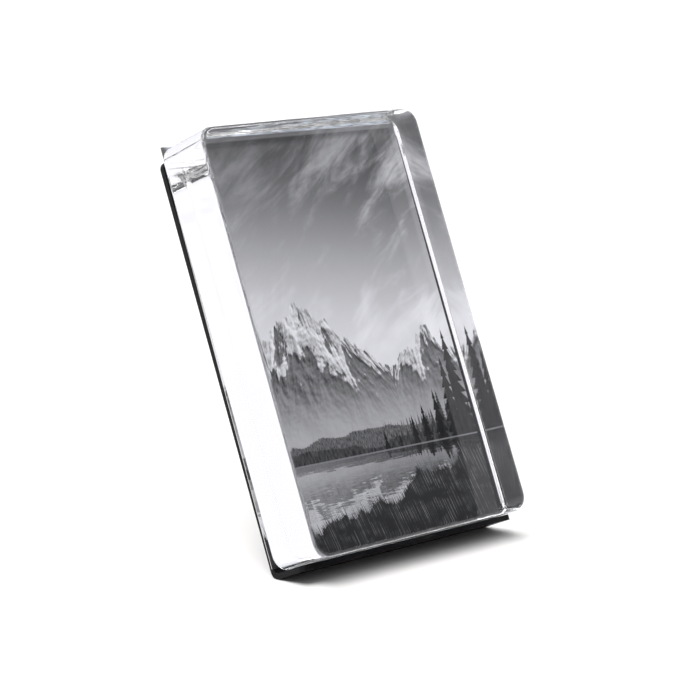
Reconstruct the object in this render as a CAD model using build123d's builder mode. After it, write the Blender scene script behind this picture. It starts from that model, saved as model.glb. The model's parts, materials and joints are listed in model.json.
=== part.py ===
from build123d import *
import math
import os

# Block photo frame: a thick clear block leans back on a stand bent from one sheet, with a print
# between the block and the stand's plate, and a folding easel leg riveted behind the plate.
# Millimetres and degrees. +Z is up, +X is to the right of someone who looks at the picture, and
# -Y is the front. The origin is on the table, in the middle of the object's bounding box.

os.makedirs("parts", exist_ok=True)

# Print: a standard photo print that stands a little askew behind the block
print_width = 101.6
print_height = 152.4
print_thickness = 0.25
print_skew_angle = 0.7
print_inset = 1.3

# Clear block: outline, thickness and the rounding of its corners and edges
block_width = 103.6
block_height = 154.0
block_depth = 24.5
block_corner_radius = 6.0
block_edge_radius = 1.7

# Stand: back plate and ledge, bent from one sheet and a little narrower than the block on each
# side. The ledge's depth counts from the plate's rear face, and the plate's rise from the ledge's
# top face.
sheet_thickness = 2.0
bend_radius = 1.0
stand_side_inset = 0.4
ledge_depth = 16.8
plate_rise = 149.3
plate_corner_radius = 3.0
ledge_corner_radius = 2.0
lean_angle = 23.2

# Gap left between the flat faces of the pieces that lie on each other
seat_gap = 0.05

# Hinge behind the plate: the pin's height up the plate, its distance from the plate's rear face,
# and the leg's slope from the vertical when it stands open against its stop
hinge_rise = 72.0
pin_standoff = 5.0
pin_radius = 1.5
pin_head_radius = 2.5
pin_head_height = 0.9
pin_head_chamfer = 0.5
pin_fit = 0.02
running_fit = 0.05
leg_slope_angle = 8.0

# Hinge bracket: a base with two ears, folded from thin sheet
bracket_thickness = 1.2
bracket_bend_radius = 0.8
bracket_width = 28.0
bracket_above = 15.0
bracket_below = 11.0
bracket_corner_radius = 2.5
ear_radius = 3.4
ear_side_gap = 0.3

# Rivets through the bracket's base and the plate, flush on the plate's front face
rivet_radius = 1.5
rivet_flush_radius = 2.6
rivet_flush_angle = 90.0
rivet_dome_radius = 2.6
rivet_dome_height = 1.3
rivet_spacing_across = 16.0
rivet_spacing_up = 12.0
rivet_row_drop = 1.0
rivet_fit = 0.02

# Easel leg: a tapered strip with two ears round the pin, a pressed rib, and a heel above the pin
# that meets the bracket's base when the leg is open
leg_thickness = 1.2
leg_ear_span = 30.0
leg_ear_radius = 3.2
leg_top_width = 26.0
leg_foot_width = 20.0
leg_set_back = 3.0
leg_corner_radius = 2.0
stop_gap = 0.1
rib_width = 7.0
rib_length = 36.0
rib_height = 0.8
rib_wall = 1.0

# Rubber foot: a cap on the leg's end, cut flat where it stands on the table
foot_wall = 1.6
foot_grip = 7.0
foot_sole = 2.4
foot_rounding = 1.0

# Overrun of the cuts that pass right through a piece
overrun = 5.0


def leaning(across, up, forward):
    """Point in the row frame from sizes across, up along the plate and forward of the bend."""
    return (
        across,
        bend_y + up * lean_sin - forward * lean_cos,
        bend_z + up * lean_cos + forward * lean_sin,
    )


# The leaning frame has its origin at the centre of the sheet's bend: up runs along the plate and
# forward is square to it, out of the picture.
lean_sin = math.sin(math.radians(lean_angle))
lean_cos = math.cos(math.radians(lean_angle))
outer_bend_radius = bend_radius + sheet_thickness
stand_width = block_width - 2 * stand_side_inset
bend_z = outer_bend_radius

plate_front = -bend_radius
plate_rear = -outer_bend_radius
sheet_middle = plate_front - sheet_thickness / 2
ledge_top = -bend_radius
plate_top = ledge_top + plate_rise
ledge_front = plate_rear + ledge_depth

print_back = plate_front + seat_gap
block_back = print_back + print_thickness + seat_gap
block_front = block_back + block_depth
block_foot = ledge_top + seat_gap

# The print's lowest corner rests where the inner bend leaves it room.
skew_sin = math.sin(math.radians(print_skew_angle))
skew_cos = math.cos(math.radians(print_skew_angle))
print_seat = seat_gap - math.sqrt(bend_radius**2 - print_back**2)
print_top = print_seat + print_width * skew_sin + print_height * skew_cos
print_middle_up = print_seat + (print_width * skew_sin + print_height * skew_cos) / 2
print_middle_across = (
    print_inset - block_width / 2 + (print_width * skew_cos - print_height * skew_sin) / 2
)

# The origin lies midway between the block's front foot and the farthest edge behind.
front_reach = (
    (block_foot + block_edge_radius) * lean_sin
    - (block_front - block_edge_radius) * lean_cos
    - block_edge_radius
)
rear_reach = max(
    plate_top * lean_sin - plate_rear * lean_cos,
    print_top * lean_sin - print_back * lean_cos,
)
bend_y = -(front_reach + rear_reach) / 2

across_axis = (1, 0, 0)
up_axis = (0, lean_sin, lean_cos)
forward_axis = (0, -lean_cos, lean_sin)

# Face plane: across by up, looking out of the picture. Side plane: forward by up, seen from the
# left. Cross plane: across by rearward, looking up along the plate.
face = Plane(origin=leaning(0, 0, 0), x_dir=across_axis, z_dir=forward_axis)
side = Plane(origin=leaning(0, 0, 0), x_dir=forward_axis, z_dir=(-1, 0, 0))
upward = Axis(face.origin, up_axis)
forward = Axis(face.origin, forward_axis)
rivet_field = Plane(
    origin=leaning(0, hinge_rise - rivet_row_drop, plate_front),
    x_dir=across_axis,
    z_dir=forward_axis,
)

# The leg's frame has its origin on the pin. Along the leg runs from the foot to the pin and
# beyond, and inward is square to it, toward the plate.
leg_open_angle = lean_angle + leg_slope_angle
open_sin = math.sin(math.radians(leg_open_angle))
open_cos = math.cos(math.radians(leg_open_angle))
slope_sin = math.sin(math.radians(leg_slope_angle))
slope_cos = math.cos(math.radians(leg_slope_angle))
pin_point = leaning(0, hinge_rise, plate_rear - pin_standoff)
leg_inward = (0, -slope_cos, -slope_sin)
leg_along = (0, -slope_sin, slope_cos)
leg_face = Plane(origin=pin_point, x_dir=across_axis, z_dir=leg_inward)
leg_side = Plane(origin=pin_point, x_dir=leg_inward, z_dir=(-1, 0, 0))
leg_up = Axis(pin_point, leg_along)
leg_inward_axis = Axis(pin_point, leg_inward)
pin_along = Axis(pin_point, across_axis)
pin_line = Plane(origin=pin_point, x_dir=up_axis, z_dir=across_axis)

# The heel is as long as it takes to meet the bracket's base at the open angle, and the strip ends
# one sole above the table.
heel_reach = (
    pin_standoff - bracket_thickness - stop_gap + leg_set_back * open_cos
) / open_sin
leg_end = -(pin_point[2] + leg_set_back * slope_sin - foot_sole) / slope_cos

# The bracket's ears stand outside the leg's, and their sheet is drawn along its centre line.
ear_middle = leg_ear_span / 2 + ear_side_gap + bracket_thickness / 2
pin_half_length = ear_middle + bracket_thickness / 2
ear_reach = pin_standoff + ear_radius
leg_ear_middle = (leg_ear_span - leg_thickness) / 2
rib_middle = (leg_end - leg_ear_radius) / 2
bracket_section = Plane(
    origin=leaning(0, hinge_rise, plate_rear), x_dir=across_axis, z_dir=up_axis
)
leg_section = Plane(origin=pin_point, x_dir=across_axis, z_dir=leg_along)
strip_back = leg_face.offset(-leg_set_back - leg_thickness)


# Clear block: a rounded rectangle as thick as the block, with every outline edge rounded
with BuildPart() as clear_block:
    with BuildSketch(face.offset(block_back)):
        with Locations((0, block_foot + block_height / 2)):
            RectangleRounded(block_width, block_height, block_corner_radius)
    extrude(amount=block_depth)
    back_face, front_face = clear_block.faces().filter_by(forward).sort_by(forward)
    fillet(back_face.edges() + front_face.edges(), block_edge_radius)
clear_block.part.label = "clear_block"
export_step(clear_block.part, "parts/clear_block.step")


# Print: a flat sheet with square corners, turned a little clockwise
with BuildPart() as photo_print:
    with BuildSketch(face.offset(print_back)):
        with Locations((print_middle_across, print_middle_up)):
            Rectangle(print_width, print_height, rotation=-print_skew_angle)
    extrude(amount=print_thickness)
photo_print.part.label = "photo_print"
export_step(photo_print.part, "parts/photo_print.step")


# Stand: one sheet bent along its centre line, its free corners rounded, with countersunk holes
with BuildPart() as stand_plate:
    with BuildSketch(side):
        with BuildLine():
            FilletPolyline(
                (ledge_front, sheet_middle),
                (sheet_middle, sheet_middle),
                (sheet_middle, plate_top),
                radius=bend_radius + sheet_thickness / 2,
            )
        trace(line_width=sheet_thickness)
    extrude(amount=stand_width / 2, both=True)
    plate_corners = stand_plate.edges().filter_by(forward).group_by(upward)[-1]
    fillet(plate_corners, plate_corner_radius)
    ledge_corners = stand_plate.edges().filter_by(upward).group_by(forward)[-1]
    fillet(ledge_corners, ledge_corner_radius)
    with Locations(rivet_field):
        with GridLocations(rivet_spacing_across, rivet_spacing_up, 2, 2):
            CounterSinkHole(
                rivet_radius + rivet_fit,
                rivet_flush_radius + rivet_fit,
                counter_sink_angle=rivet_flush_angle,
            )
stand_plate.part.label = "stand_plate"
export_step(stand_plate.part, "parts/stand_plate.step")


# Hinge bracket: two round-ended ears folded up from a base strip with rounded corners
with BuildPart() as hinge_bracket:
    with BuildSketch(bracket_section):
        with BuildLine():
            FilletPolyline(
                (-ear_middle, ear_reach),
                (-ear_middle, bracket_thickness / 2),
                (ear_middle, bracket_thickness / 2),
                (ear_middle, ear_reach),
                radius=bracket_bend_radius + bracket_thickness / 2,
            )
        trace(line_width=bracket_thickness)
    extrude(amount=ear_radius, both=True)
    with BuildSketch(side):
        with Locations((plate_rear, hinge_rise)):
            Rectangle(pin_standoff, 2 * ear_radius, align=(Align.MAX, Align.CENTER))
        with Locations((plate_rear - pin_standoff, hinge_rise)):
            Circle(ear_radius)
    extrude(amount=pin_half_length, both=True, mode=Mode.INTERSECT)
    with BuildSketch(face.offset(plate_rear - bracket_thickness)):
        with Locations((0, hinge_rise + (bracket_above - bracket_below) / 2)):
            RectangleRounded(
                bracket_width, bracket_above + bracket_below, bracket_corner_radius
            )
    extrude(amount=bracket_thickness)
    with Locations(pin_line):
        Hole(pin_radius + pin_fit)
    with Locations(rivet_field):
        with GridLocations(rivet_spacing_across, rivet_spacing_up, 2, 2):
            Hole(rivet_radius + rivet_fit)
hinge_bracket.part.label = "hinge_bracket"
export_step(hinge_bracket.part, "parts/hinge_bracket.step")


# Rivets: each turned about its own axis, flush in front and domed behind
with BuildPart() as rivets:
    rivet_grip = sheet_thickness + bracket_thickness
    flush_depth = (rivet_flush_radius - rivet_radius) / math.tan(
        math.radians(rivet_flush_angle / 2)
    )
    for place in GridLocations(rivet_spacing_across, rivet_spacing_up, 2, 2).locations:
        rivet_across = place.position.X
        rivet_up = hinge_rise - rivet_row_drop + place.position.Y
        rivet_foot = leaning(rivet_across, rivet_up, plate_front)
        half_section = Plane(
            origin=rivet_foot, x_dir=across_axis, z_dir=(0, -lean_sin, -lean_cos)
        )
        with BuildSketch(half_section):
            with BuildLine():
                Polyline(
                    (0, -rivet_grip - rivet_dome_height),
                    (0, 0),
                    (rivet_flush_radius, 0),
                    (rivet_radius, -flush_depth),
                    (rivet_radius, -rivet_grip),
                    (rivet_dome_radius, -rivet_grip),
                )
                dome_bulge = (rivet_dome_radius**2 + rivet_dome_height**2) / (
                    2 * rivet_dome_height
                )
                RadiusArc(
                    (rivet_dome_radius, -rivet_grip),
                    (0, -rivet_grip - rivet_dome_height),
                    dome_bulge,
                )
            make_face()
        revolve(axis=Axis(rivet_foot, forward_axis))
rivets.part.label = "rivets"
export_step(rivets.part, "parts/rivets.step")


# Hinge pin: a plain shaft with a chamfered head outside each ear
with BuildPart() as hinge_pin:
    with BuildSketch(pin_line):
        Circle(pin_radius)
    extrude(amount=pin_half_length, both=True)
    for end in (-1, 1):
        with BuildSketch(pin_line.offset(end * pin_half_length)):
            Circle(pin_head_radius)
        extrude(amount=end * pin_head_height)
    head_rims = hinge_pin.edges().filter_by(GeomType.CIRCLE).sort_by(pin_along)
    chamfer([head_rims[0], head_rims[-1]], pin_head_chamfer)
hinge_pin.part.label = "hinge_pin"
export_step(hinge_pin.part, "parts/hinge_pin.step")


# Easel leg: two ears folded toward the plate, the tapered strip behind them, a rib and pin holes
with BuildPart() as easel_leg:
    with BuildSketch(leg_section):
        with BuildLine():
            FilletPolyline(
                (-leg_ear_middle, -leg_ear_radius),
                (-leg_ear_middle, leg_set_back + leg_thickness / 2),
                (leg_ear_middle, leg_set_back + leg_thickness / 2),
                (leg_ear_middle, -leg_ear_radius),
                radius=bracket_bend_radius + leg_thickness / 2,
            )
        trace(line_width=leg_thickness)
    extrude(amount=leg_ear_radius, both=True)
    with BuildSketch(leg_side):
        Circle(leg_ear_radius)
        Rectangle(
            leg_set_back + leg_thickness,
            2 * leg_ear_radius,
            align=(Align.MAX, Align.CENTER),
        )
    extrude(amount=leg_ear_span, both=True, mode=Mode.INTERSECT)
    with BuildSketch(strip_back):
        with BuildLine():
            Polyline(
                (-leg_top_width / 2, heel_reach),
                (leg_top_width / 2, heel_reach),
                (leg_top_width / 2, -leg_ear_radius),
                (leg_foot_width / 2, leg_end),
                (-leg_foot_width / 2, leg_end),
                (-leg_top_width / 2, -leg_ear_radius),
                (-leg_top_width / 2, heel_reach),
            )
        make_face()
    extrude(amount=leg_thickness)
    strip_corners = easel_leg.edges().filter_by(leg_inward_axis).group_by(leg_up)
    fillet(strip_corners[-1] + strip_corners[0], leg_corner_radius)
    with Locations(pin_line):
        Hole(pin_radius + running_fit)
    with BuildSketch(strip_back):
        with Locations((0, rib_middle)):
            SlotOverall(rib_length, rib_width, rotation=90)
    extrude(amount=-rib_height)
    with BuildSketch(leg_face.offset(-leg_set_back)):
        with Locations((0, rib_middle)):
            SlotOverall(rib_length - 2 * rib_wall, rib_width - 2 * rib_wall, rotation=90)
    extrude(amount=-rib_height, mode=Mode.SUBTRACT)
easel_leg.part.label = "easel_leg"
export_step(easel_leg.part, "parts/easel_leg.step")


# Rubber foot: a cap with a slot for the leg's end, cut level with the table
with BuildPart() as leg_foot:
    cap_width = leg_foot_width + 2 * foot_wall
    cap_depth = leg_thickness + 2 * foot_wall
    with BuildSketch(leg_side):
        with Locations((foot_wall - leg_set_back, leg_end + foot_grip)):
            Rectangle(cap_depth, foot_grip + 2 * foot_sole, align=(Align.MAX, Align.MAX))
    extrude(amount=cap_width / 2, both=True)
    fillet(leg_foot.edges().filter_by(leg_up), foot_rounding)
    split(bisect_by=Plane.XY, keep=Keep.TOP)
    taper_share = (leg_top_width - leg_foot_width) / 2 / (-leg_ear_radius - leg_end)
    with BuildSketch(leg_face.offset(-leg_set_back - leg_thickness - seat_gap)):
        pocket_low = leg_end - seat_gap
        pocket_high = leg_end + foot_grip + overrun
        low_half = leg_foot_width / 2 + seat_gap
        high_half = low_half + (pocket_high - pocket_low) * taper_share
        with BuildLine():
            Polyline(
                (-low_half, pocket_low),
                (low_half, pocket_low),
                (high_half, pocket_high),
                (-high_half, pocket_high),
                (-low_half, pocket_low),
            )
        make_face()
    extrude(amount=leg_thickness + 2 * seat_gap, mode=Mode.SUBTRACT)
leg_foot.part.label = "leg_foot"
export_step(leg_foot.part, "parts/leg_foot.step")
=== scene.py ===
import json
import math

import bmesh
import bpy
from mathutils import Matrix, Vector


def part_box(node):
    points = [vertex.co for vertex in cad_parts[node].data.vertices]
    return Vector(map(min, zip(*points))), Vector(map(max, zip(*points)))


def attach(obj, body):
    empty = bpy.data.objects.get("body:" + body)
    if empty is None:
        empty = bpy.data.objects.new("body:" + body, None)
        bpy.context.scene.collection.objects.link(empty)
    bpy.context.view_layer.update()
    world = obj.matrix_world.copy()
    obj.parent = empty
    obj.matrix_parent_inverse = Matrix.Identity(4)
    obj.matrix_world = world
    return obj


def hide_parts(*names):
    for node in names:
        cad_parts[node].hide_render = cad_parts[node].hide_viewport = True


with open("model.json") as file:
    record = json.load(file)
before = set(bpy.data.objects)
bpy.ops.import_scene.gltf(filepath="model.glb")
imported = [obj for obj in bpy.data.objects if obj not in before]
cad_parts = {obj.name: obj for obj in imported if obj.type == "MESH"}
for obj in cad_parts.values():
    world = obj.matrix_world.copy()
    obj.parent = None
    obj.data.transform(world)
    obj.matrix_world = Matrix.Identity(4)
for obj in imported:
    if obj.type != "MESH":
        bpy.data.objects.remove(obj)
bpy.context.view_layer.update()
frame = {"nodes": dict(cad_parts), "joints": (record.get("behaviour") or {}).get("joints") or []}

scene = bpy.context.scene
nodes = frame["nodes"]
MM = 0.001


# Stand, hinge bracket, rivets and easel leg: bent and pressed steel sheet, powder coated black.
# The coat is satin and very slightly pebbled, and it wears paler where hands and table rub the
# edges. All of these pieces take it, each with its own grain offset.
COAT_COLOUR = (0.0055, 0.0057, 0.0064, 1)
COAT_WORN_COLOUR = (0.015, 0.015, 0.016, 1)
COAT_ROUGHNESS = 0.34
COAT_SPECULAR = 0.12
COAT_PEBBLE = 0.65 * MM
COAT_PATCH = 11.0 * MM
COAT_BUMP_STRENGTH = 0.35
COAT_BUMP_DEPTH = 0.03 * MM
COAT_GRAIN_SHIFT = Vector((13.0, 7.0, 0.0)) * MM


def new_group(name, inputs, outputs):
    """Empty shader node group. Its sockets are given as (name, kind, default)."""
    group = bpy.data.node_groups.new(name, "ShaderNodeTree")
    for side, sockets in (("INPUT", inputs), ("OUTPUT", outputs)):
        for label, kind, default in sockets:
            socket = group.interface.new_socket(label, in_out=side, socket_type="NodeSocket" + kind)
            if default is not None and side == "INPUT":
                socket.default_value = default
    return group


def place(tree, kind, **values):
    """New node in a tree. A value named as a setting or an input, with _ for a space, sets or links it."""
    node = tree.nodes.new(kind)
    for key, value in values.items():
        name = key.replace("_", " ")
        if hasattr(node, key):
            setattr(node, key, value)
        elif isinstance(value, bpy.types.NodeSocket):
            tree.links.new(value, node.inputs[name])
        else:
            node.inputs[name].default_value = value
    return node


def sums(tree, operation, *terms):
    """Math node with its terms linked or set in order; returns its result."""
    node = place(tree, "ShaderNodeMath", operation=operation)
    for socket, term in zip(node.inputs, terms):
        if isinstance(term, bpy.types.NodeSocket):
            tree.links.new(term, socket)
        else:
            socket.default_value = term
    return node.outputs[0]


def dot(tree, vector, direction):
    """Dot product of a linked vector with another one, linked or set."""
    node = place(tree, "ShaderNodeVectorMath", operation="DOT_PRODUCT")
    tree.links.new(vector, node.inputs[0])
    if isinstance(direction, bpy.types.NodeSocket):
        tree.links.new(direction, node.inputs[1])
    else:
        node.inputs[1].default_value = direction
    return node.outputs["Value"]


def ramp(tree, value, low, high, to_low=0.0, to_high=1.0, smooth=False):
    """Clamped change of range from low..high to to_low..to_high."""
    node = place(tree, "ShaderNodeMapRange", clamp=True)
    node.interpolation_type = "SMOOTHSTEP" if smooth else "LINEAR"
    tree.links.new(value, node.inputs["Value"])
    for name, given in (("From Min", low), ("From Max", high), ("To Min", to_low), ("To Max", to_high)):
        if isinstance(given, bpy.types.NodeSocket):
            tree.links.new(given, node.inputs[name])
        else:
            node.inputs[name].default_value = given
    return node.outputs["Result"]


def blended(tree, factor, first, second):
    """Colour mix from first to second by factor."""
    node = place(tree, "ShaderNodeMix", data_type="RGBA", clamp_factor=True)
    for index, given in ((0, factor), (6, first), (7, second)):
        if isinstance(given, bpy.types.NodeSocket):
            tree.links.new(given, node.inputs[index])
        else:
            node.inputs[index].default_value = given
    return node.outputs[2]


def bumped(tree, shader, height, strength, depth):
    """Bump from a height, linked to the shader's normal."""
    bump = place(tree, "ShaderNodeBump", Strength=strength, Distance=depth)
    tree.links.new(height, bump.inputs["Height"])
    tree.links.new(bump.outputs["Normal"], shader.inputs["Normal"])


def pebbled_coat():
    """Group for a sprayed and baked coat: pebble height, rubbed patches and gloss."""
    group = new_group(
        "pebbled_coat",
        [
            ("Place", "Vector", None),
            ("Pebble", "Float", COAT_PEBBLE),
            ("Patch", "Float", COAT_PATCH),
            ("Roughness", "Float", COAT_ROUGHNESS),
        ],
        [("Height", "Float", None), ("Rubbed", "Float", None), ("Gloss", "Float", None)],
    )
    given = group.nodes.new("NodeGroupInput").outputs
    out = group.nodes.new("NodeGroupOutput").inputs
    pebble_scale = sums(group, "DIVIDE", 1.0, given["Pebble"])
    patch_scale = sums(group, "DIVIDE", 1.0, given["Patch"])
    pebbles = place(
        group, "ShaderNodeTexNoise", Vector=given["Place"], Scale=pebble_scale, Detail=2.0, Roughness=0.45
    )
    patches = place(
        group, "ShaderNodeTexNoise", Vector=given["Place"], Scale=patch_scale, Detail=4.0, Roughness=0.6
    )
    scuffs = place(
        group, "ShaderNodeTexNoise", Vector=given["Place"], Scale=sums(group, "MULTIPLY", patch_scale, 6.0),
        Detail=3.0, Distortion=1.2,
    )
    rubbed = sums(
        group, "MULTIPLY",
        ramp(group, patches.outputs["Fac"], 0.52, 0.72),
        ramp(group, scuffs.outputs["Fac"], 0.5, 0.66),
    )
    gloss = sums(
        group, "ADD", given["Roughness"],
        ramp(group, patches.outputs["Fac"], 0.3, 0.7, -0.05, 0.07),
    )
    group.links.new(pebbles.outputs["Fac"], out["Height"])
    group.links.new(rubbed, out["Rubbed"])
    group.links.new(gloss, out["Gloss"])
    return group


def new_material(name):
    """Material with a Principled shader, and its tree."""
    material = bpy.data.materials.new(name)
    material.use_nodes = True
    return material, material.node_tree, material.node_tree.nodes["Principled BSDF"]


def object_place(tree, shift=(0, 0, 0)):
    """Object coordinates, moved so that like pieces don't share one grain."""
    here = place(tree, "ShaderNodeTexCoord").outputs["Object"]
    return place(tree, "ShaderNodeMapping", Vector=here, Location=shift).outputs["Vector"]


def dress(node, material):
    """Gives a CAD node its material."""
    slots = nodes[node].data.materials
    slots.clear()
    slots.append(material)


coat_group = pebbled_coat()


def coated_sheet(name, shift):
    """Black coated steel for one piece."""
    material, tree, shader = new_material(name)
    coat = place(tree, "ShaderNodeGroup", node_tree=coat_group)
    tree.links.new(object_place(tree, shift), coat.inputs["Place"])
    tree.links.new(
        blended(tree, coat.outputs["Rubbed"], COAT_COLOUR, COAT_WORN_COLOUR), shader.inputs["Base Color"]
    )
    tree.links.new(coat.outputs["Gloss"], shader.inputs["Roughness"])
    shader.inputs["Specular IOR Level"].default_value = COAT_SPECULAR
    bumped(tree, shader, coat.outputs["Height"], COAT_BUMP_STRENGTH, COAT_BUMP_DEPTH)
    return material


for grain, node in enumerate(("stand_plate", "hinge_bracket", "rivets", "easel_leg")):
    dress(node, coated_sheet("coat_" + node, COAT_GRAIN_SHIFT * grain))


# Hinge pin: plain bright steel wire with turned heads. Fine rings left by the tool run round it,
# along its length, and its middle shows through the gap between the leg's ears.
PIN_COLOUR = (0.50, 0.50, 0.51, 1)
PIN_DULL_COLOUR = (0.33, 0.32, 0.31, 1)
PIN_RING = 1.3823 * MM
WAVE_PHASE_PER_UNIT = 20.0
PIN_STAIN_SCALE = 420.0
PIN_BRIGHT_ROUGHNESS = 0.24
PIN_DULL_ROUGHNESS = 0.42
PIN_BUMP_STRENGTH = 0.3
PIN_BUMP_DEPTH = 0.02 * MM

pin_steel, tree, shader = new_material("pin_steel")
here = object_place(tree)
rings = place(tree, "ShaderNodeTexWave", wave_type="BANDS", bands_direction="X", Vector=here,
              Scale=math.tau / (WAVE_PHASE_PER_UNIT * PIN_RING), Distortion=1.5, Detail=2.0)
stain = place(tree, "ShaderNodeTexNoise", Vector=here, Scale=PIN_STAIN_SCALE, Detail=4.0)
tree.links.new(
    blended(tree, ramp(tree, stain.outputs["Fac"], 0.45, 0.7), PIN_COLOUR, PIN_DULL_COLOUR),
    shader.inputs["Base Color"],
)
tree.links.new(
    ramp(tree, stain.outputs["Fac"], 0.3, 0.7, PIN_BRIGHT_ROUGHNESS, PIN_DULL_ROUGHNESS),
    shader.inputs["Roughness"],
)
shader.inputs["Metallic"].default_value = 1.0
bumped(tree, shader, rings.outputs["Fac"], PIN_BUMP_STRENGTH, PIN_BUMP_DEPTH)
dress("hinge_pin", pin_steel)


# Rubber foot: moulded black rubber cap that grips the end of the leg. It is matte with a fine
# moulded grain, and greyer where it picks up dust from the table.
RUBBER_COLOUR = (0.018, 0.018, 0.018, 1)
RUBBER_DUST_COLOUR = (0.075, 0.072, 0.068, 1)
RUBBER_ROUGHNESS = 0.82
RUBBER_GRAIN = 0.4 * MM
RUBBER_DUST_SCALE = 260.0
RUBBER_DUST_HEIGHT = 4.0 * MM
RUBBER_BUMP_STRENGTH = 0.5
RUBBER_BUMP_DEPTH = 0.04 * MM

rubber, tree, shader = new_material("foot_rubber")
here = object_place(tree)
grain = place(tree, "ShaderNodeTexNoise", Vector=here, Scale=1 / RUBBER_GRAIN, Detail=3.0)
dust = place(tree, "ShaderNodeTexNoise", Vector=here, Scale=RUBBER_DUST_SCALE, Detail=5.0, Roughness=0.65)
height = place(tree, "ShaderNodeSeparateXYZ", Vector=here).outputs["Z"]
dusty = sums(
    tree, "MULTIPLY",
    ramp(tree, height, 0.0, RUBBER_DUST_HEIGHT, 1.0, 0.25),
    ramp(tree, dust.outputs["Fac"], 0.45, 0.75),
)
tree.links.new(blended(tree, dusty, RUBBER_COLOUR, RUBBER_DUST_COLOUR), shader.inputs["Base Color"])
shader.inputs["Roughness"].default_value = RUBBER_ROUGHNESS
bumped(tree, shader, grain.outputs["Fac"], RUBBER_BUMP_STRENGTH, RUBBER_BUMP_DEPTH)
dress("leg_foot", rubber)


# Print: a glossy black and white photo print, cut square, a mountain lake under a cloudy sky.
# The picture is on its front face only; its cut edges and back are white paper.
PRINT_WIDTH = 101.6 * MM
PRINT_HEIGHT = 152.4 * MM
PRINT_THICKNESS = 0.25 * MM
PRINT_SKEW = math.radians(0.7)
PAPER_COLOUR = (0.78, 0.78, 0.77, 1)
PAPER_ROUGHNESS = 0.8
PRINT_ROUGHNESS = 0.3
PRINT_SPECULAR = 0.12
PRINT_BLUE_SHARE = 1.06
# Painted light: bands of painted light on the print's top and right margins stand in for the light the
# block's rounded rim throws, with a band of painted shade under the top one, and a line of painted
# highlight streaks along the print's top stands in for the block's wavy top edge.
PAINTED_RIM_LIGHT = 3.6 * MM
PAINTED_RIM_LIGHT_TONE = 0.09
PAINTED_RIM_SHADE_SHARE = 0.55
PAINTED_STREAK_LINE = 1.5 * MM
PAINTED_STREAK_LOW_TONE = 0.22
PAINTED_STREAK_HIGH_TONE = 0.92
PAINTED_STREAK_TINT = (0.84, 0.90, 1.0)
PAINTED_STREAK_LEFT_END = (0.012, 0.03)
# The picture's places are shares of the print's width or height. Each peak: its place across, its
# height and its slope. Each row of pines: trees across the print, seed, ground, height and tone.
PEAKS = ((0.30, 0.585, 0.52), (0.86, 0.475, 0.42))
PINE_ROWS = (
    (70.0, 3.0, 0.258, 0.045, 0.110),
    (38.0, 11.0, 0.232, 0.085, 0.050),
    (15.0, 29.0, 0.190, 0.300, 0.013),
)
WATERLINE = 0.205
PICTURE_INPUTS = (("Across", "Float", 0.5), ("Up", "Float", 0.5))

up = Vector(frame["joints"][0]["axis"])
across = Vector((1, 0, 0))
forward = across.cross(up)
low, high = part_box("photo_print")
print_middle = (low + high) / 2
# Columns across, up and forward of the print, turned by its skew.
print_across = across * math.cos(PRINT_SKEW) - up * math.sin(PRINT_SKEW)
print_up = across * math.sin(PRINT_SKEW) + up * math.cos(PRINT_SKEW)


def noise_line(tree, along, scale, seed, detail=3.0, roughness=0.5):
    """Smooth random line from 0 to 1 along one value."""
    where = sums(tree, "MULTIPLY_ADD", along, scale, seed)
    line = place(tree, "ShaderNodeTexNoise", noise_dimensions="1D", W=where, Scale=1.0, Detail=detail,
                 Roughness=roughness)
    return line.outputs["Fac"]


def noise_field(tree, across, up, across_scale, up_scale, detail=5.0, roughness=0.55, distortion=0.0):
    """Random field from 0 to 1 over the picture, with its own scale each way."""
    where = place(tree, "ShaderNodeCombineXYZ", X=sums(tree, "MULTIPLY", across, across_scale),
                  Y=sums(tree, "MULTIPLY", up, up_scale))
    field = place(tree, "ShaderNodeTexNoise", Vector=where.outputs["Vector"], Scale=1.0, Detail=detail,
                  Roughness=roughness, Distortion=distortion)
    return field.outputs["Fac"]


def below(tree, height, edge, softness):
    """1 under an edge line and 0 over it, with a soft border."""
    return ramp(tree, sums(tree, "SUBTRACT", edge, height), -softness, softness, smooth=True)


def laid_over(tree, tone, mask, over):
    """Tone with another laid over it where the mask is 1."""
    return sums(tree, "MULTIPLY_ADD", mask, sums(tree, "SUBTRACT", over, tone), tone)


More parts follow.
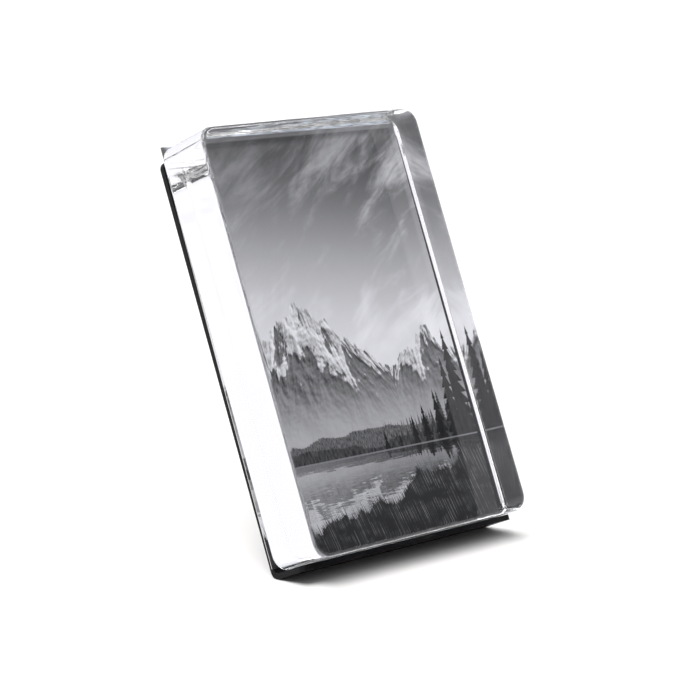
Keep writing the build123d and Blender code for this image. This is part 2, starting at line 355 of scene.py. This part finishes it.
def shore_view():
    """Group that draws sky, mountains and pines from across and up, each 0 to 1 on the print."""
    group = new_group("shore_view", PICTURE_INPUTS, [("Grey", "Float", None)])
    given = group.nodes.new("NodeGroupInput").outputs
    out = group.nodes.new("NodeGroupOutput").inputs
    x, y = given["Across"], given["Up"]

    # Sky: dark overhead and pale toward the horizon, with drifting cloud that thins toward the top.
    tilt = sums(group, "MULTIPLY_ADD", x, 0.10, y)
    sky = ramp(group, tilt, 0.40, 1.02, 0.84, 0.10, smooth=True)
    slant = sums(group, "MULTIPLY_ADD", x, -0.45, y)
    broad = noise_field(group, x, slant, 1.9, 3.4, 7.0, 0.56, 0.5)
    wisps = noise_field(group, sums(group, "ADD", x, y), slant, 2.6, 17.0, 6.0, 0.6, 0.8)
    thick = sums(group, "MULTIPLY_ADD", wisps, 0.35, sums(group, "MULTIPLY", broad, 0.75))
    thick = ramp(group, thick, 0.49, 0.68, smooth=True)
    cover = ramp(group, slant, 0.15, 0.80, 1.0, 0.20)
    tone = laid_over(group, sky, sums(group, "MULTIPLY", thick, cover), 0.88)

    # Far range: pale and hazy.
    far_edge = sums(group, "MULTIPLY_ADD", noise_line(group, x, 4.2, 7.3, 8.0, 0.55), 0.17, 0.315)
    far_relief = noise_field(group, x, y, 26.0, 20.0, 5.0, 0.6, 0.6)
    far_tone = ramp(group, far_relief, 0.3, 0.7, 0.16, 0.36)
    tone = laid_over(group, tone, below(group, y, far_edge, 0.0015), far_tone)

    # Two peaks lit from the right, with snow held in the gullies between their rock ribs.
    first_aside, second_aside = (sums(group, "SUBTRACT", x, where) for where, height, slope in PEAKS)
    first, second = (
        sums(group, "MULTIPLY_ADD", sums(group, "ABSOLUTE", aside), -slope, height)
        for aside, (where, height, slope) in zip((first_aside, second_aside), PEAKS)
    )
    on_second = sums(group, "GREATER_THAN", second, first)
    summit = sums(group, "MAXIMUM", first, second)
    aside = laid_over(group, first_aside, on_second, second_aside)
    crag = sums(group, "SUBTRACT", noise_line(group, x, 13.0, 2.1, 10.0, 0.6), 0.5)
    peak_edge = sums(group, "MULTIPLY_ADD", crag, 0.10, summit)
    drop = sums(group, "SUBTRACT", summit, y)
    fan = sums(group, "DIVIDE", aside, sums(group, "MULTIPLY_ADD", drop, 1.6, 0.22))
    rib_x = sums(group, "MULTIPLY_ADD", fan, 0.34, sums(group, "MULTIPLY", x, 0.6))
    ribs = noise_field(group, rib_x, y, 8.0, 11.0, 10.0, 0.6, 0.2)
    ribs_aside = noise_field(group, sums(group, "ADD", rib_x, 0.010), sums(group, "ADD", y, 0.006),
                             8.0, 11.0, 10.0, 0.6, 0.2)
    light = sums(group, "MULTIPLY_ADD", sums(group, "SUBTRACT", ribs, ribs_aside), 6.5, 0.58)
    light = ramp(group, light, 0.0, 1.0, 0.08, 1.0)
    snow_line = sums(group, "MULTIPLY_ADD", sums(group, "MULTIPLY_ADD", drop, -0.5, y), -1.05, 0.935)
    snow = ramp(group, sums(group, "SUBTRACT", ribs, snow_line), -0.02, 0.02)
    rock_tone = sums(group, "MULTIPLY_ADD", light, 0.24, 0.012)
    snow_tone = sums(group, "MULTIPLY_ADD", light, 0.72, 0.16)
    peaks = below(group, y, peak_edge, 0.0012)
    tone = laid_over(group, tone, peaks, laid_over(group, rock_tone, snow, snow_tone))
    haze = ramp(group, y, 0.23, 0.42, 0.85, 0.0, smooth=True)
    tone = laid_over(group, tone, sums(group, "MULTIPLY", haze, peaks), 0.52)

    # Pines in three rows, each tree with drooping boughs; the nearest stand tall on the right.
    for count, seed, base, tall, grey in PINE_ROWS:
        step = sums(group, "MULTIPLY_ADD", x, count, seed)
        cell = sums(group, "FLOOR", step)
        chance = place(group, "ShaderNodeTexWhiteNoise", noise_dimensions="1D", W=cell)
        pick = place(group, "ShaderNodeSeparateColor", Color=chance.outputs["Color"])
        middle = sums(group, "MULTIPLY", sums(group, "SUBTRACT", cell, seed - 0.5), 1 / count)
        lift = sums(group, "MULTIPLY_ADD", noise_line(group, middle, 3.1, seed, 3.0), 0.07, base - 0.035)
        rise = ramp(group, middle, 0.48, 0.90, 0.12, 1.0, smooth=True)
        height = sums(group, "MULTIPLY", sums(group, "MULTIPLY_ADD", pick.outputs["Red"], 0.6, 0.4),
                      sums(group, "MULTIPLY", rise, tall))
        drop = sums(group, "SUBTRACT", sums(group, "ADD", lift, height), y)
        shift = sums(group, "MULTIPLY_ADD", pick.outputs["Green"], 0.5, -0.25)
        inside = sums(group, "SUBTRACT", sums(group, "SUBTRACT", sums(group, "FRACT", step), 0.5), shift)
        apart = sums(group, "MULTIPLY", sums(group, "ABSOLUTE", inside), 1 / count)
        boughs = sums(group, "FRACT", sums(group, "MULTIPLY", drop, 11.0 / tall))
        ragged = noise_field(group, x, y, 500.0, 420.0, 1.0)
        spread = sums(group, "MULTIPLY_ADD", boughs, 0.16, sums(group, "MULTIPLY_ADD", ragged, 0.16, 0.06))
        reach = sums(group, "MULTIPLY", drop, spread)
        tree = ramp(group, sums(group, "SUBTRACT", reach, apart), -0.0006, 0.0012)
        ground = below(group, y, lift, 0.002)
        trees = sums(group, "MAXIMUM", tree, ground)
        needle = ramp(group, noise_field(group, x, y, 3.2 * count, 1.3 * count, 3.0), 0.3, 0.7, 0.25, 2.0)
        tone = laid_over(group, tone, trees, sums(group, "MULTIPLY", needle, grey))

    group.links.new(tone, out["Grey"])
    return group


def lake_picture():
    """Group that draws the whole picture: the shore, its mirror image in the lake and a turf bank."""
    group = new_group("lake_picture", PICTURE_INPUTS, [("Grey", "Float", None)])
    given = group.nodes.new("NodeGroupInput").outputs
    out = group.nodes.new("NodeGroupOutput").inputs
    x, y = given["Across"], given["Up"]
    shore = shore_view()
    tone = place(group, "ShaderNodeGroup", node_tree=shore, Across=x, Up=y).outputs["Grey"]

    # Lake: the shore upside down, squeezed and broken into flat ripples that grow toward the viewer.
    depth = sums(group, "SUBTRACT", WATERLINE, y)
    ripples = noise_field(group, x, y, 10.0, 190.0, 4.0, 0.6, 0.4)
    broken = sums(group, "MULTIPLY", sums(group, "SUBTRACT", ripples, 0.5),
                  sums(group, "MULTIPLY_ADD", depth, 3.0, 0.02))
    mirrored = sums(group, "ADD", sums(group, "MULTIPLY_ADD", depth, 2.6, WATERLINE), broken)
    image = place(group, "ShaderNodeGroup", node_tree=shore, Up=mirrored,
                  Across=sums(group, "MULTIPLY_ADD", broken, 0.1, x)).outputs["Grey"]
    glint = sums(group, "MULTIPLY", ramp(group, ripples, 0.56, 0.70),
                 ramp(group, depth, 0.0, 0.15, 0.03, 0.22))
    sheen = ramp(group, x, 0.1, 0.75, 0.16, 0.008, smooth=True)
    water_tone = sums(group, "MULTIPLY_ADD", image, 0.66, sums(group, "ADD", glint, sheen))
    tone = laid_over(group, tone, ramp(group, depth, -0.0006, 0.0006), water_tone)
    off_shore = sums(group, "ABSOLUTE", sums(group, "ADD", depth, 0.001))
    tone = laid_over(group, tone, ramp(group, off_shore, 0.001, 0.0025, 0.7, 0.0), 0.30)

    # Bank: dark turf with pale grass blades that stand up over its edge.
    blade_x = sums(group, "MULTIPLY_ADD", y, 0.35, x)
    blades = noise_line(group, blade_x, 210.0, 5.0, 3.0, 0.6)
    turf_edge = sums(group, "MULTIPLY_ADD", noise_line(group, x, 4.0, 5.0, 6.0, 0.6), 0.14,
                     ramp(group, x, 0.35, 1.0, 0.0, 0.10, smooth=True))
    bank_edge = sums(group, "MULTIPLY_ADD", ramp(group, blades, 0.45, 0.8), 0.035, turf_edge)
    clumps = noise_field(group, x, y, 16.0, 30.0, 5.0, 0.6)
    pale = sums(group, "MULTIPLY", ramp(group, blades, 0.5, 0.7), ramp(group, clumps, 0.42, 0.62))
    turf_tone = sums(group, "MULTIPLY_ADD", pale, 0.26, 0.030)
    tone = laid_over(group, tone, below(group, y, bank_edge, 0.0015), turf_tone)
    group.links.new(tone, out["Grey"])
    return group


print_material, tree, shader = new_material("photo_paper")
row_place = place(tree, "ShaderNodeTexCoord").outputs["Object"]


def measured_along(tree, direction, origin, length):
    """Distance along a direction from a point, as a share of a length."""
    along = dot(tree, row_place, direction)
    return sums(tree, "MULTIPLY_ADD", along, 1 / length, -direction.dot(origin) / length)


picture = place(tree, "ShaderNodeGroup", node_tree=lake_picture())
picture_across = sums(tree, "ADD", measured_along(tree, print_across, print_middle, PRINT_WIDTH), 0.5)
picture_up = sums(tree, "ADD", measured_along(tree, print_up, print_middle, PRINT_HEIGHT), 0.5)
tree.links.new(picture_across, picture.inputs["Across"])
tree.links.new(picture_up, picture.inputs["Up"])
on_front = sums(tree, "GREATER_THAN", measured_along(tree, forward, print_middle, PRINT_THICKNESS), 0.45)
to_right = sums(tree, "MULTIPLY", sums(tree, "SUBTRACT", 1.0, picture_across), PRINT_WIDTH)
to_top = sums(tree, "MULTIPLY", sums(tree, "SUBTRACT", 1.0, picture_up), PRINT_HEIGHT)
# Painted light: the print's tone is lifted in bands along its right and top margins, and painted shade
# darkens a band under the top one.
painted_right_light = sums(
    tree, "MULTIPLY",
    ramp(tree, to_right, 0.4 * PAINTED_RIM_LIGHT, PAINTED_RIM_LIGHT, PAINTED_RIM_LIGHT_TONE, 0.0, smooth=True),
    ramp(tree, picture_up, 0.35, 0.9, smooth=True),
)
painted_top_light = ramp(tree, to_top, 0.75 * PAINTED_RIM_LIGHT, 0.9 * PAINTED_RIM_LIGHT, PAINTED_RIM_LIGHT_TONE, 0.0, smooth=True)
painted_under_shade = ramp(tree, to_top, 0.9 * PAINTED_RIM_LIGHT, 1.7 * PAINTED_RIM_LIGHT, PAINTED_RIM_SHADE_SHARE, 1.0, smooth=True)
print_and_painted_light_tone = sums(tree, "MULTIPLY_ADD", picture.outputs["Grey"], painted_under_shade,
                  sums(tree, "MAXIMUM", painted_right_light, painted_top_light))
cool_print_and_painted_light = place(tree, "ShaderNodeCombineColor", Red=print_and_painted_light_tone, Green=print_and_painted_light_tone,
             Blue=sums(tree, "MULTIPLY", print_and_painted_light_tone, PRINT_BLUE_SHARE))
# Painted highlight: a line of bright, slightly blue streaks laid over the print's top edge.
painted_streaks = noise_field(tree, picture_across, picture_up, 16.0, 700.0, 3.0, 0.6, 0.6)
painted_streak_tone = ramp(tree, painted_streaks, 0.38, 0.60, PAINTED_STREAK_LOW_TONE, PAINTED_STREAK_HIGH_TONE)
painted_streak_red, painted_streak_green, painted_streak_blue = (
    sums(tree, "MULTIPLY", painted_streak_tone, share) for share in PAINTED_STREAK_TINT
)
painted_streak_colour = place(tree, "ShaderNodeCombineColor", Red=painted_streak_red, Green=painted_streak_green, Blue=painted_streak_blue)
at_painted_streaks = sums(tree, "MULTIPLY", ramp(tree, to_top, 0.8 * PAINTED_STREAK_LINE, PAINTED_STREAK_LINE, 1.0, 0.0),
               ramp(tree, picture_across, *PAINTED_STREAK_LEFT_END))
print_and_painted_light_colour = blended(tree, at_painted_streaks, cool_print_and_painted_light.outputs["Color"], painted_streak_colour.outputs["Color"])
tree.links.new(blended(tree, on_front, PAPER_COLOUR, print_and_painted_light_colour), shader.inputs["Base Color"])
tree.links.new(
    ramp(tree, on_front, 0.0, 1.0, PAPER_ROUGHNESS, PRINT_ROUGHNESS), shader.inputs["Roughness"]
)
shader.inputs["Specular IOR Level"].default_value = PRINT_SPECULAR
dress("photo_print", print_material)


# Clear block: one thick pane of pressed glass with round corners and fire-polished edges. Front and
# back are flat, and the side walls ripple a little where the mould and the polish left them. It is
# swept as one profile round its outline, then closed with a flat face front and back.
BLOCK_WIDTH = 103.6 * MM
BLOCK_HEIGHT = 154.0 * MM
BLOCK_DEPTH = 24.5 * MM
CORNER_RADIUS = 6.0 * MM
EDGE_RADIUS = 1.7 * MM
FACE_RIM = 0.3 * MM
CORNER_STEPS = 32
EDGE_STEPS = 14
OUTLINE_STEP = 0.8 * MM
PROFILE_STEP = 0.35 * MM
WELD_GAP = 0.001 * MM
RIPPLE_LENGTH = 9.0 * MM
RIPPLE_DEPTH = 0.04 * MM
TOP_RIPPLE_LENGTH = 6.0 * MM
TOP_RIPPLE_DEPTH = 0.38 * MM
RIPPLE_SEED = 4.0
RIPPLE_STRETCH = 0.45
RIPPLE_FADE_SHARE = 0.5
TOP_WALL_TURN = (0.4, 0.9)
GLASS_COLOUR = (0.985, 0.99, 1.0, 1)
GLASS_INDEX = 1.5
GLASS_SHADOW_COLOUR = (0.93, 0.94, 0.94, 1)
GLASS_FOOT_SHADOW_COLOUR = (0.03, 0.03, 0.03, 1)
GLASS_FOOT_HEIGHTS = (0.3 * EDGE_RADIUS, EDGE_RADIUS)

low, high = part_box("clear_block")
block_middle = (low + high) / 2


def geometry_tree(name, inputs):
    """Empty geometry node tree with one geometry in and out and named sizes."""
    group = bpy.data.node_groups.new(name, "GeometryNodeTree")
    group.interface.new_socket("Geometry", in_out="INPUT", socket_type="NodeSocketGeometry")
    group.interface.new_socket("Geometry", in_out="OUTPUT", socket_type="NodeSocketGeometry")
    for label, kind, default in inputs:
        socket = group.interface.new_socket(label, in_out="INPUT", socket_type="NodeSocket" + kind)
        socket.default_value = default
    return group


def swept_block():
    """Tree that sweeps the rounded edge profile round the block's outline and closes both faces."""
    group = geometry_tree(
        "swept_block",
        [
            ("Width", "Float", BLOCK_WIDTH),
            ("Height", "Float", BLOCK_HEIGHT),
            ("Depth", "Float", BLOCK_DEPTH),
            ("Corner radius", "Float", CORNER_RADIUS),
            ("Edge radius", "Float", EDGE_RADIUS),
            ("Face rim", "Float", FACE_RIM),
            ("Ripple length", "Float", RIPPLE_LENGTH),
            ("Ripple depth", "Float", RIPPLE_DEPTH),
            ("Top ripple length", "Float", TOP_RIPPLE_LENGTH),
            ("Top ripple depth", "Float", TOP_RIPPLE_DEPTH),
            ("Seed", "Float", RIPPLE_SEED),
        ],
    )
    given = group.nodes.new("NodeGroupInput").outputs
    out = group.nodes.new("NodeGroupOutput").inputs
    inset = sums(group, "ADD", given["Edge radius"], given["Face rim"])
    twice = sums(group, "MULTIPLY", inset, 2.0)
    half_depth = sums(group, "MULTIPLY", given["Depth"], 0.5)

    outline = place(group, "GeometryNodeCurvePrimitiveQuadrilateral",
                    Width=sums(group, "SUBTRACT", given["Width"], twice),
                    Height=sums(group, "SUBTRACT", given["Height"], twice))
    outline = place(group, "GeometryNodeFilletCurve", mode="POLY", Curve=outline.outputs["Curve"],
                    Radius=sums(group, "SUBTRACT", given["Corner radius"], inset), Count=CORNER_STEPS)
    outline = place(group, "GeometryNodeResampleCurve", mode="LENGTH", Curve=outline.outputs["Curve"],
                    Length=OUTLINE_STEP)
    outline = place(group, "GeometryNodeSetCurveNormal", mode="Z_UP", Curve=outline.outputs["Curve"])

    # The profile has four points, two on the faces and two on the wall. It starts at one face's rim,
    # rounds the edge, runs along the wall and comes back in.
    corner = place(group, "GeometryNodeInputIndex").outputs["Index"]
    outside = sums(group, "MULTIPLY", sums(group, "COMPARE", corner, 1.5, 0.6), inset)
    behind = ramp(group, corner, 1.0, 2.0, 1.0, -1.0)
    profile = place(group, "GeometryNodeCurvePrimitiveLine")
    profile = place(group, "GeometryNodeResampleCurve", Curve=profile.outputs["Curve"], Count=4)
    profile = place(
        group, "GeometryNodeSetPosition", Geometry=profile.outputs["Curve"],
        Position=place(group, "ShaderNodeCombineXYZ", X=outside,
                       Y=sums(group, "MULTIPLY", behind, half_depth)).outputs["Vector"],
    )
    profile = place(group, "GeometryNodeFilletCurve", mode="POLY", Curve=profile.outputs["Geometry"],
                    Radius=given["Edge radius"], Count=EDGE_STEPS)
    profile = place(group, "GeometryNodeResampleCurve", mode="LENGTH", Curve=profile.outputs["Curve"],
                    Length=PROFILE_STEP)
    wall = place(group, "GeometryNodeCurveToMesh", Curve=outline.outputs["Curve"])
    group.links.new(profile.outputs["Curve"], wall.inputs["Profile Curve"])

    joined = group.nodes.new("GeometryNodeJoinGeometry")
    group.links.new(wall.outputs["Mesh"], joined.inputs["Geometry"])
    for side in (1, -1):
        face = place(group, "GeometryNodeFillCurve", Curve=outline.outputs["Curve"])
        lift = place(group, "ShaderNodeCombineXYZ", Z=sums(group, "MULTIPLY", half_depth, float(side)))
        moved = place(group, "GeometryNodeTransform", Geometry=face.outputs["Mesh"],
                      Translation=lift.outputs["Vector"])
        group.links.new(moved.outputs["Geometry"], joined.inputs["Geometry"])
    closed = place(group, "GeometryNodeMergeByDistance", Geometry=joined.outputs["Geometry"],
                   Distance=WELD_GAP)

    # The ripple only cuts in, fades out at the front and back faces and is deepest on the top wall.
    here = place(group, "GeometryNodeInputPosition").outputs["Position"]
    normal = place(group, "GeometryNodeInputNormal").outputs["Normal"]
    apart = place(group, "ShaderNodeSeparateXYZ", Vector=here)
    outward = sums(group, "SIGN", dot(group, normal, here))
    facing = place(group, "ShaderNodeSeparateXYZ", Vector=normal)
    facing_up = sums(group, "MULTIPLY", facing.outputs["Y"], outward)
    near_face = sums(group, "SUBTRACT", half_depth, sums(group, "ABSOLUTE", apart.outputs["Z"]))
    fade = sums(group, "MULTIPLY", given["Edge radius"], RIPPLE_FADE_SHARE)
    on_wall = ramp(group, near_face, 0.0, fade, smooth=True)
    full_depth = ramp(group, facing_up, *TOP_WALL_TURN, given["Ripple depth"], given["Top ripple depth"])
    length = ramp(group, facing_up, *TOP_WALL_TURN, given["Ripple length"], given["Top ripple length"])
    drawn_out = place(group, "ShaderNodeVectorMath", operation="MULTIPLY")
    group.links.new(here, drawn_out.inputs[0])
    drawn_out.inputs[1].default_value = (RIPPLE_STRETCH, 1, 1)
    ripple = place(group, "ShaderNodeTexNoise", noise_dimensions="4D", Vector=drawn_out.outputs["Vector"],
                   W=given["Seed"], Scale=sums(group, "DIVIDE", 1.0, length), Detail=2.0, Roughness=0.45)
    depth = sums(group, "MULTIPLY", sums(group, "MULTIPLY", ripple.outputs["Fac"], on_wall), full_depth)
    push = place(group, "ShaderNodeVectorMath", operation="SCALE",
                 Scale=sums(group, "MULTIPLY", depth, sums(group, "MULTIPLY", outward, -1.0)))
    group.links.new(normal, push.inputs[0])
    shaped = place(group, "GeometryNodeSetPosition", Geometry=closed.outputs["Geometry"],
                   Offset=push.outputs["Vector"])
    smooth = place(group, "GeometryNodeSetShadeSmooth", Geometry=shaped.outputs["Geometry"])
    real = place(group, "GeometryNodeRealizeInstances", Geometry=smooth.outputs["Geometry"])
    made = place(group, "GeometryNodeSetMaterial", Geometry=real.outputs["Geometry"], Material=glass)
    group.links.new(made.outputs["Geometry"], out["Geometry"])
    return group


def grown(name, tree, matrix):
    """Plain mesh object from a geometry tree, put in place in its mesh, with its faces turned out."""
    seed = bpy.data.objects.new(name + "_seed", bpy.data.meshes.new(name + "_seed"))
    scene.collection.objects.link(seed)
    modifier = seed.modifiers.new("grow", "NODES")
    modifier.node_group = tree
    evaluated = seed.evaluated_get(bpy.context.evaluated_depsgraph_get())
    mesh = bpy.data.meshes.new_from_object(evaluated)
    mesh.name = name
    bpy.data.objects.remove(seed)
    mesh.transform(matrix)
    shell = bmesh.new()
    shell.from_mesh(mesh)
    bmesh.ops.recalc_face_normals(shell, faces=shell.faces)
    shell.to_mesh(mesh)
    shell.free()
    piece = bpy.data.objects.new(name, mesh)
    scene.collection.objects.link(piece)
    return piece


# The glass lets lamps and the light off other surfaces through, so that the print behind it is lit.
# Light that comes in at the front can't leave by the foot, so the foot lets little through.
glass, tree, shader = new_material("clear_glass")
shader.inputs["Base Color"].default_value = GLASS_COLOUR
shader.inputs["Roughness"].default_value = 0.0
shader.inputs["IOR"].default_value = GLASS_INDEX
shader.inputs["Transmission Weight"].default_value = 1.0
light_path = place(tree, "ShaderNodeLightPath").outputs
passing = sums(tree, "MAXIMUM", light_path["Is Shadow Ray"], light_path["Is Diffuse Ray"])
rise = dot(tree, place(tree, "ShaderNodeTexCoord").outputs["Object"], up)
foot = up.dot(block_middle) - BLOCK_HEIGHT / 2
at_foot = ramp(tree, rise, *(foot + height for height in GLASS_FOOT_HEIGHTS), 1.0, 0.0)
shade = blended(tree, at_foot, GLASS_SHADOW_COLOUR, GLASS_FOOT_SHADOW_COLOUR)
passed = blended(tree, light_path["Is Shadow Ray"], (1, 1, 1, 1), shade)
lets_through = place(tree, "ShaderNodeBsdfTransparent", Color=passed)
either = place(tree, "ShaderNodeMixShader", Fac=passing)
tree.links.new(shader.outputs["BSDF"], either.inputs[1])
tree.links.new(lets_through.outputs["BSDF"], either.inputs[2])
tree.links.new(either.outputs["Shader"], tree.nodes["Material Output"].inputs["Surface"])

block_place = Matrix((across, up, forward)).transposed().to_4x4()
block_place.translation = block_middle
block = grown("clear_block_glass", swept_block(), block_place)
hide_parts("clear_block")
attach(block, "block")


# Studio: a white table that runs on as the background in a white room, under one soft lamp high on
# the left and a weaker one high behind. A glowing white card close to the block's right wall, which
# is no lamp and is seen only in mirror and glass rays, fills the view through its left wall.
FLOOR_COLOUR = (0.88, 0.86, 0.84, 1)
FLOOR_SEEN_COLOUR = (0.89, 0.88, 0.875, 1)
FLOOR_ROUGHNESS = 0.9
FLOOR_REACH = 12.0
SKY_LOW_LIGHT = 0.10
SKY_HIGH_LIGHT = 0.52
SKY_RISE = (0.1, 0.6)
# Mirror and glass rays see the room slightly cool, dim at the front right, which keeps glare off the
# block's front, and bright at the left. Each side's soft border lies between two cosines off it.
ROOM_SEEN_LIGHT = 0.76
ROOM_SEEN_COLOUR = (0.88, 0.93, 1.0, 1)
DARK_SIDE = Vector((0.55, -0.75, 0.37))
DARK_SIDE_BORDER = (0.62, 0.80)
DARK_SIDE_LIGHT = 0.10
BRIGHT_SIDE = Vector((-0.80, -0.45, 0.40))
BRIGHT_SIDE_BORDER = (0.55, 0.75)
BRIGHT_SIDE_LIGHT = 1.06
CARD_GAP = 6.0 * MM
CARD_AHEAD = 19.5 * MM
CARD_BEHIND = 80.0 * MM
CARD_HEIGHT = 190.0 * MM
CARD_COLOUR = (0.965, 0.955, 1.0, 1)
CARD_LIGHT = 1.06
# Each lamp: direction toward it, how wide it looks, and strength.
LAMPS = (
    ("left_lamp", Vector((-0.50, -0.12, 0.90)), math.radians(34.0), 2.3),
    ("back_lamp", Vector((-0.15, 0.45, 1.0)), math.radians(40.0), 1.1),
)


def ray_kinds(tree):
    """Two masks: 1 for camera rays, and 1 for mirror and glass rays."""
    path = place(tree, "ShaderNodeLightPath").outputs
    return path["Is Camera Ray"], sums(tree, "MAXIMUM", path["Is Glossy Ray"], path["Is Transmission Ray"])


def flat_piece(name, middle, half_wide, half_high, material):
    """One studio rectangle from its middle and its two half sides."""
    mesh = bpy.data.meshes.new(name)
    corners = [middle + half_wide * a + half_high * b for a, b in ((-1, -1), (1, -1), (1, 1), (-1, 1))]
    mesh.from_pydata(corners, [], [(0, 1, 2, 3)])
    mesh.materials.append(material)
    piece = bpy.data.objects.new(name, mesh)
    scene.collection.objects.link(piece)
    return piece


floor_material, tree, shader = new_material("white_table")
floor_seen = sums(tree, "MAXIMUM", *ray_kinds(tree))
tree.links.new(blended(tree, floor_seen, FLOOR_COLOUR, FLOOR_SEEN_COLOUR), shader.inputs["Base Color"])
shader.inputs["Roughness"].default_value = FLOOR_ROUGHNESS
shader.inputs["Specular IOR Level"].default_value = 0.0
flat_piece(
    "floor", Vector((0, 0, 0)), Vector((FLOOR_REACH, 0, 0)), Vector((0, FLOOR_REACH, 0)), floor_material
)

# The card glows by its own emission and is lit by nothing; only mirror and glass rays see it.
glowing_card_material, tree, shader = new_material("glowing_white_card")
shader.inputs["Base Color"].default_value = (0, 0, 0, 1)
shader.inputs["Specular IOR Level"].default_value = 0.0
shader.inputs["Emission Color"].default_value = CARD_COLOUR
shader.inputs["Emission Strength"].default_value = CARD_LIGHT
card = flat_piece(
    "card",
    block_middle + across * (BLOCK_WIDTH / 2 + CARD_GAP) + forward * (CARD_AHEAD - CARD_BEHIND) / 2,
    forward * (CARD_AHEAD + CARD_BEHIND) / 2,
    up * CARD_HEIGHT / 2,
    glowing_card_material,
)
card.visible_camera = False
card.visible_diffuse = False
card.visible_shadow = False

world = bpy.data.worlds.new("studio")
scene.world = world
world.use_nodes = True
tree = world.node_tree
toward = place(tree, "ShaderNodeTexCoord").outputs["Generated"]
at_dark_side = ramp(tree, dot(tree, toward, DARK_SIDE.normalized()), *DARK_SIDE_BORDER, smooth=True)
at_bright_side = ramp(tree, dot(tree, toward, BRIGHT_SIDE.normalized()), *BRIGHT_SIDE_BORDER, smooth=True)
room_light = ramp(tree, at_dark_side, 0.0, 1.0, ROOM_SEEN_LIGHT, DARK_SIDE_LIGHT)
room_light = laid_over(tree, room_light, at_bright_side, BRIGHT_SIDE_LIGHT)
room_colour = blended(tree, at_bright_side, ROOM_SEEN_COLOUR, CARD_COLOUR)
height = place(tree, "ShaderNodeSeparateXYZ", Vector=toward).outputs["Z"]
lit = ramp(tree, height, *SKY_RISE, SKY_LOW_LIGHT, SKY_HIGH_LIGHT, smooth=True)
camera_ray, mirror_or_glass = ray_kinds(tree)
strength = ramp(tree, mirror_or_glass, 0.0, 1.0, lit, room_light)
background = tree.nodes["Background"].inputs
tree.links.new(sums(tree, "MAXIMUM", strength, camera_ray), background["Strength"])
tree.links.new(blended(tree, mirror_or_glass, (1, 1, 1, 1), room_colour), background["Color"])

for name, toward_lamp, angle, strength in LAMPS:
    lamp_data = bpy.data.lights.new(name, "SUN")
    lamp_data.energy = strength
    lamp_data.angle = angle
    lamp = bpy.data.objects.new(name, lamp_data)
    lamp.rotation_euler = toward_lamp.to_track_quat("Z", "Y").to_euler()
    scene.collection.objects.link(lamp)


# Camera: a long lens from the front left, a little above the block. Light takes many turns inside
# the glass, so the render is given more bounces than it has by default.
CAMERA_AIM = Vector((-37.59, -42.06, 81.55)) * MM
CAMERA_DISTANCE = 864.2 * MM
CAMERA_AZIMUTH = math.radians(-43.086)
CAMERA_ELEVATION = math.radians(10.941)
FRAME_PIXELS = 700
FOCAL_PIXELS = 2580.96
SENSOR_WIDTH = 36.0
FAR_CLIP = 50.0
GLASS_BOUNCES = 24
SURFACE_BOUNCES = 16

toward_camera = Vector((
    math.sin(CAMERA_AZIMUTH) * math.cos(CAMERA_ELEVATION),
    -math.cos(CAMERA_AZIMUTH) * math.cos(CAMERA_ELEVATION),
    math.sin(CAMERA_ELEVATION),
))
camera_data = bpy.data.cameras.new("camera")
camera_data.sensor_width = SENSOR_WIDTH
camera_data.sensor_fit = "HORIZONTAL"
camera_data.lens = SENSOR_WIDTH * FOCAL_PIXELS / FRAME_PIXELS
camera_data.clip_end = FAR_CLIP
camera = bpy.data.objects.new("camera", camera_data)
camera.location = CAMERA_AIM + toward_camera * CAMERA_DISTANCE
camera.rotation_euler = (-toward_camera).to_track_quat("-Z", "Y").to_euler()
scene.collection.objects.link(camera)
scene.camera = camera

scene.view_settings.view_transform = "Standard"
scene.cycles.max_bounces = GLASS_BOUNCES
scene.cycles.glossy_bounces = SURFACE_BOUNCES
scene.cycles.transmission_bounces = GLASS_BOUNCES
scene.cycles.transparent_max_bounces = SURFACE_BOUNCES
